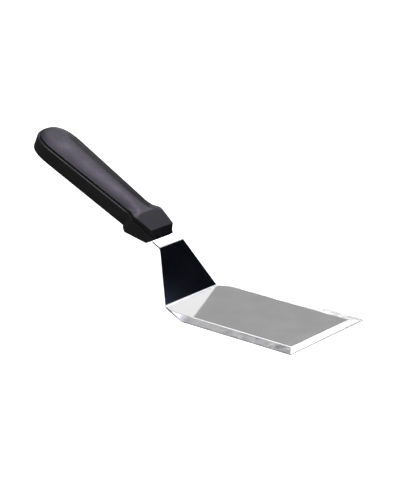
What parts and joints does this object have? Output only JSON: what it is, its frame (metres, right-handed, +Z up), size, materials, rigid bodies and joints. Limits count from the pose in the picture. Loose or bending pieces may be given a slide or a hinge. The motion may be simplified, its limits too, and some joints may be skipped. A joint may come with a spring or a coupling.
{
  "type": "offset spatula",
  "caption": "Wide offset spatula: flat steel blade with ground edges, steep riser and angled tang in a black two-shell plastic handle.",
  "frame": {"origin": "middle of the blade's flat underside, which rests on the table", "axes": "+X along the blade towards its front edge, +Y across the blade, +Z up from the underside towards the handle"},
  "size_m": [0.244, 0.0762, 0.0923],
  "materials": {
    "polished_steel": "bright polished stainless sheet with fine rolling marks and ground edges",
    "body_plastic": "black moulded plastic, satin",
    "cover_plastic": "black moulded plastic, satin, with a soft sheen",
    "zinc_screw": "zinc-plated screw"
  },
  "bodies": {
    "root": {"blade": "polished_steel", "handle_body": "body_plastic", "handle_cover": "cover_plastic", "tang_screw_front": "zinc_screw", "tang_screw_rear": "zinc_screw"}
  },
  "joints": []
}
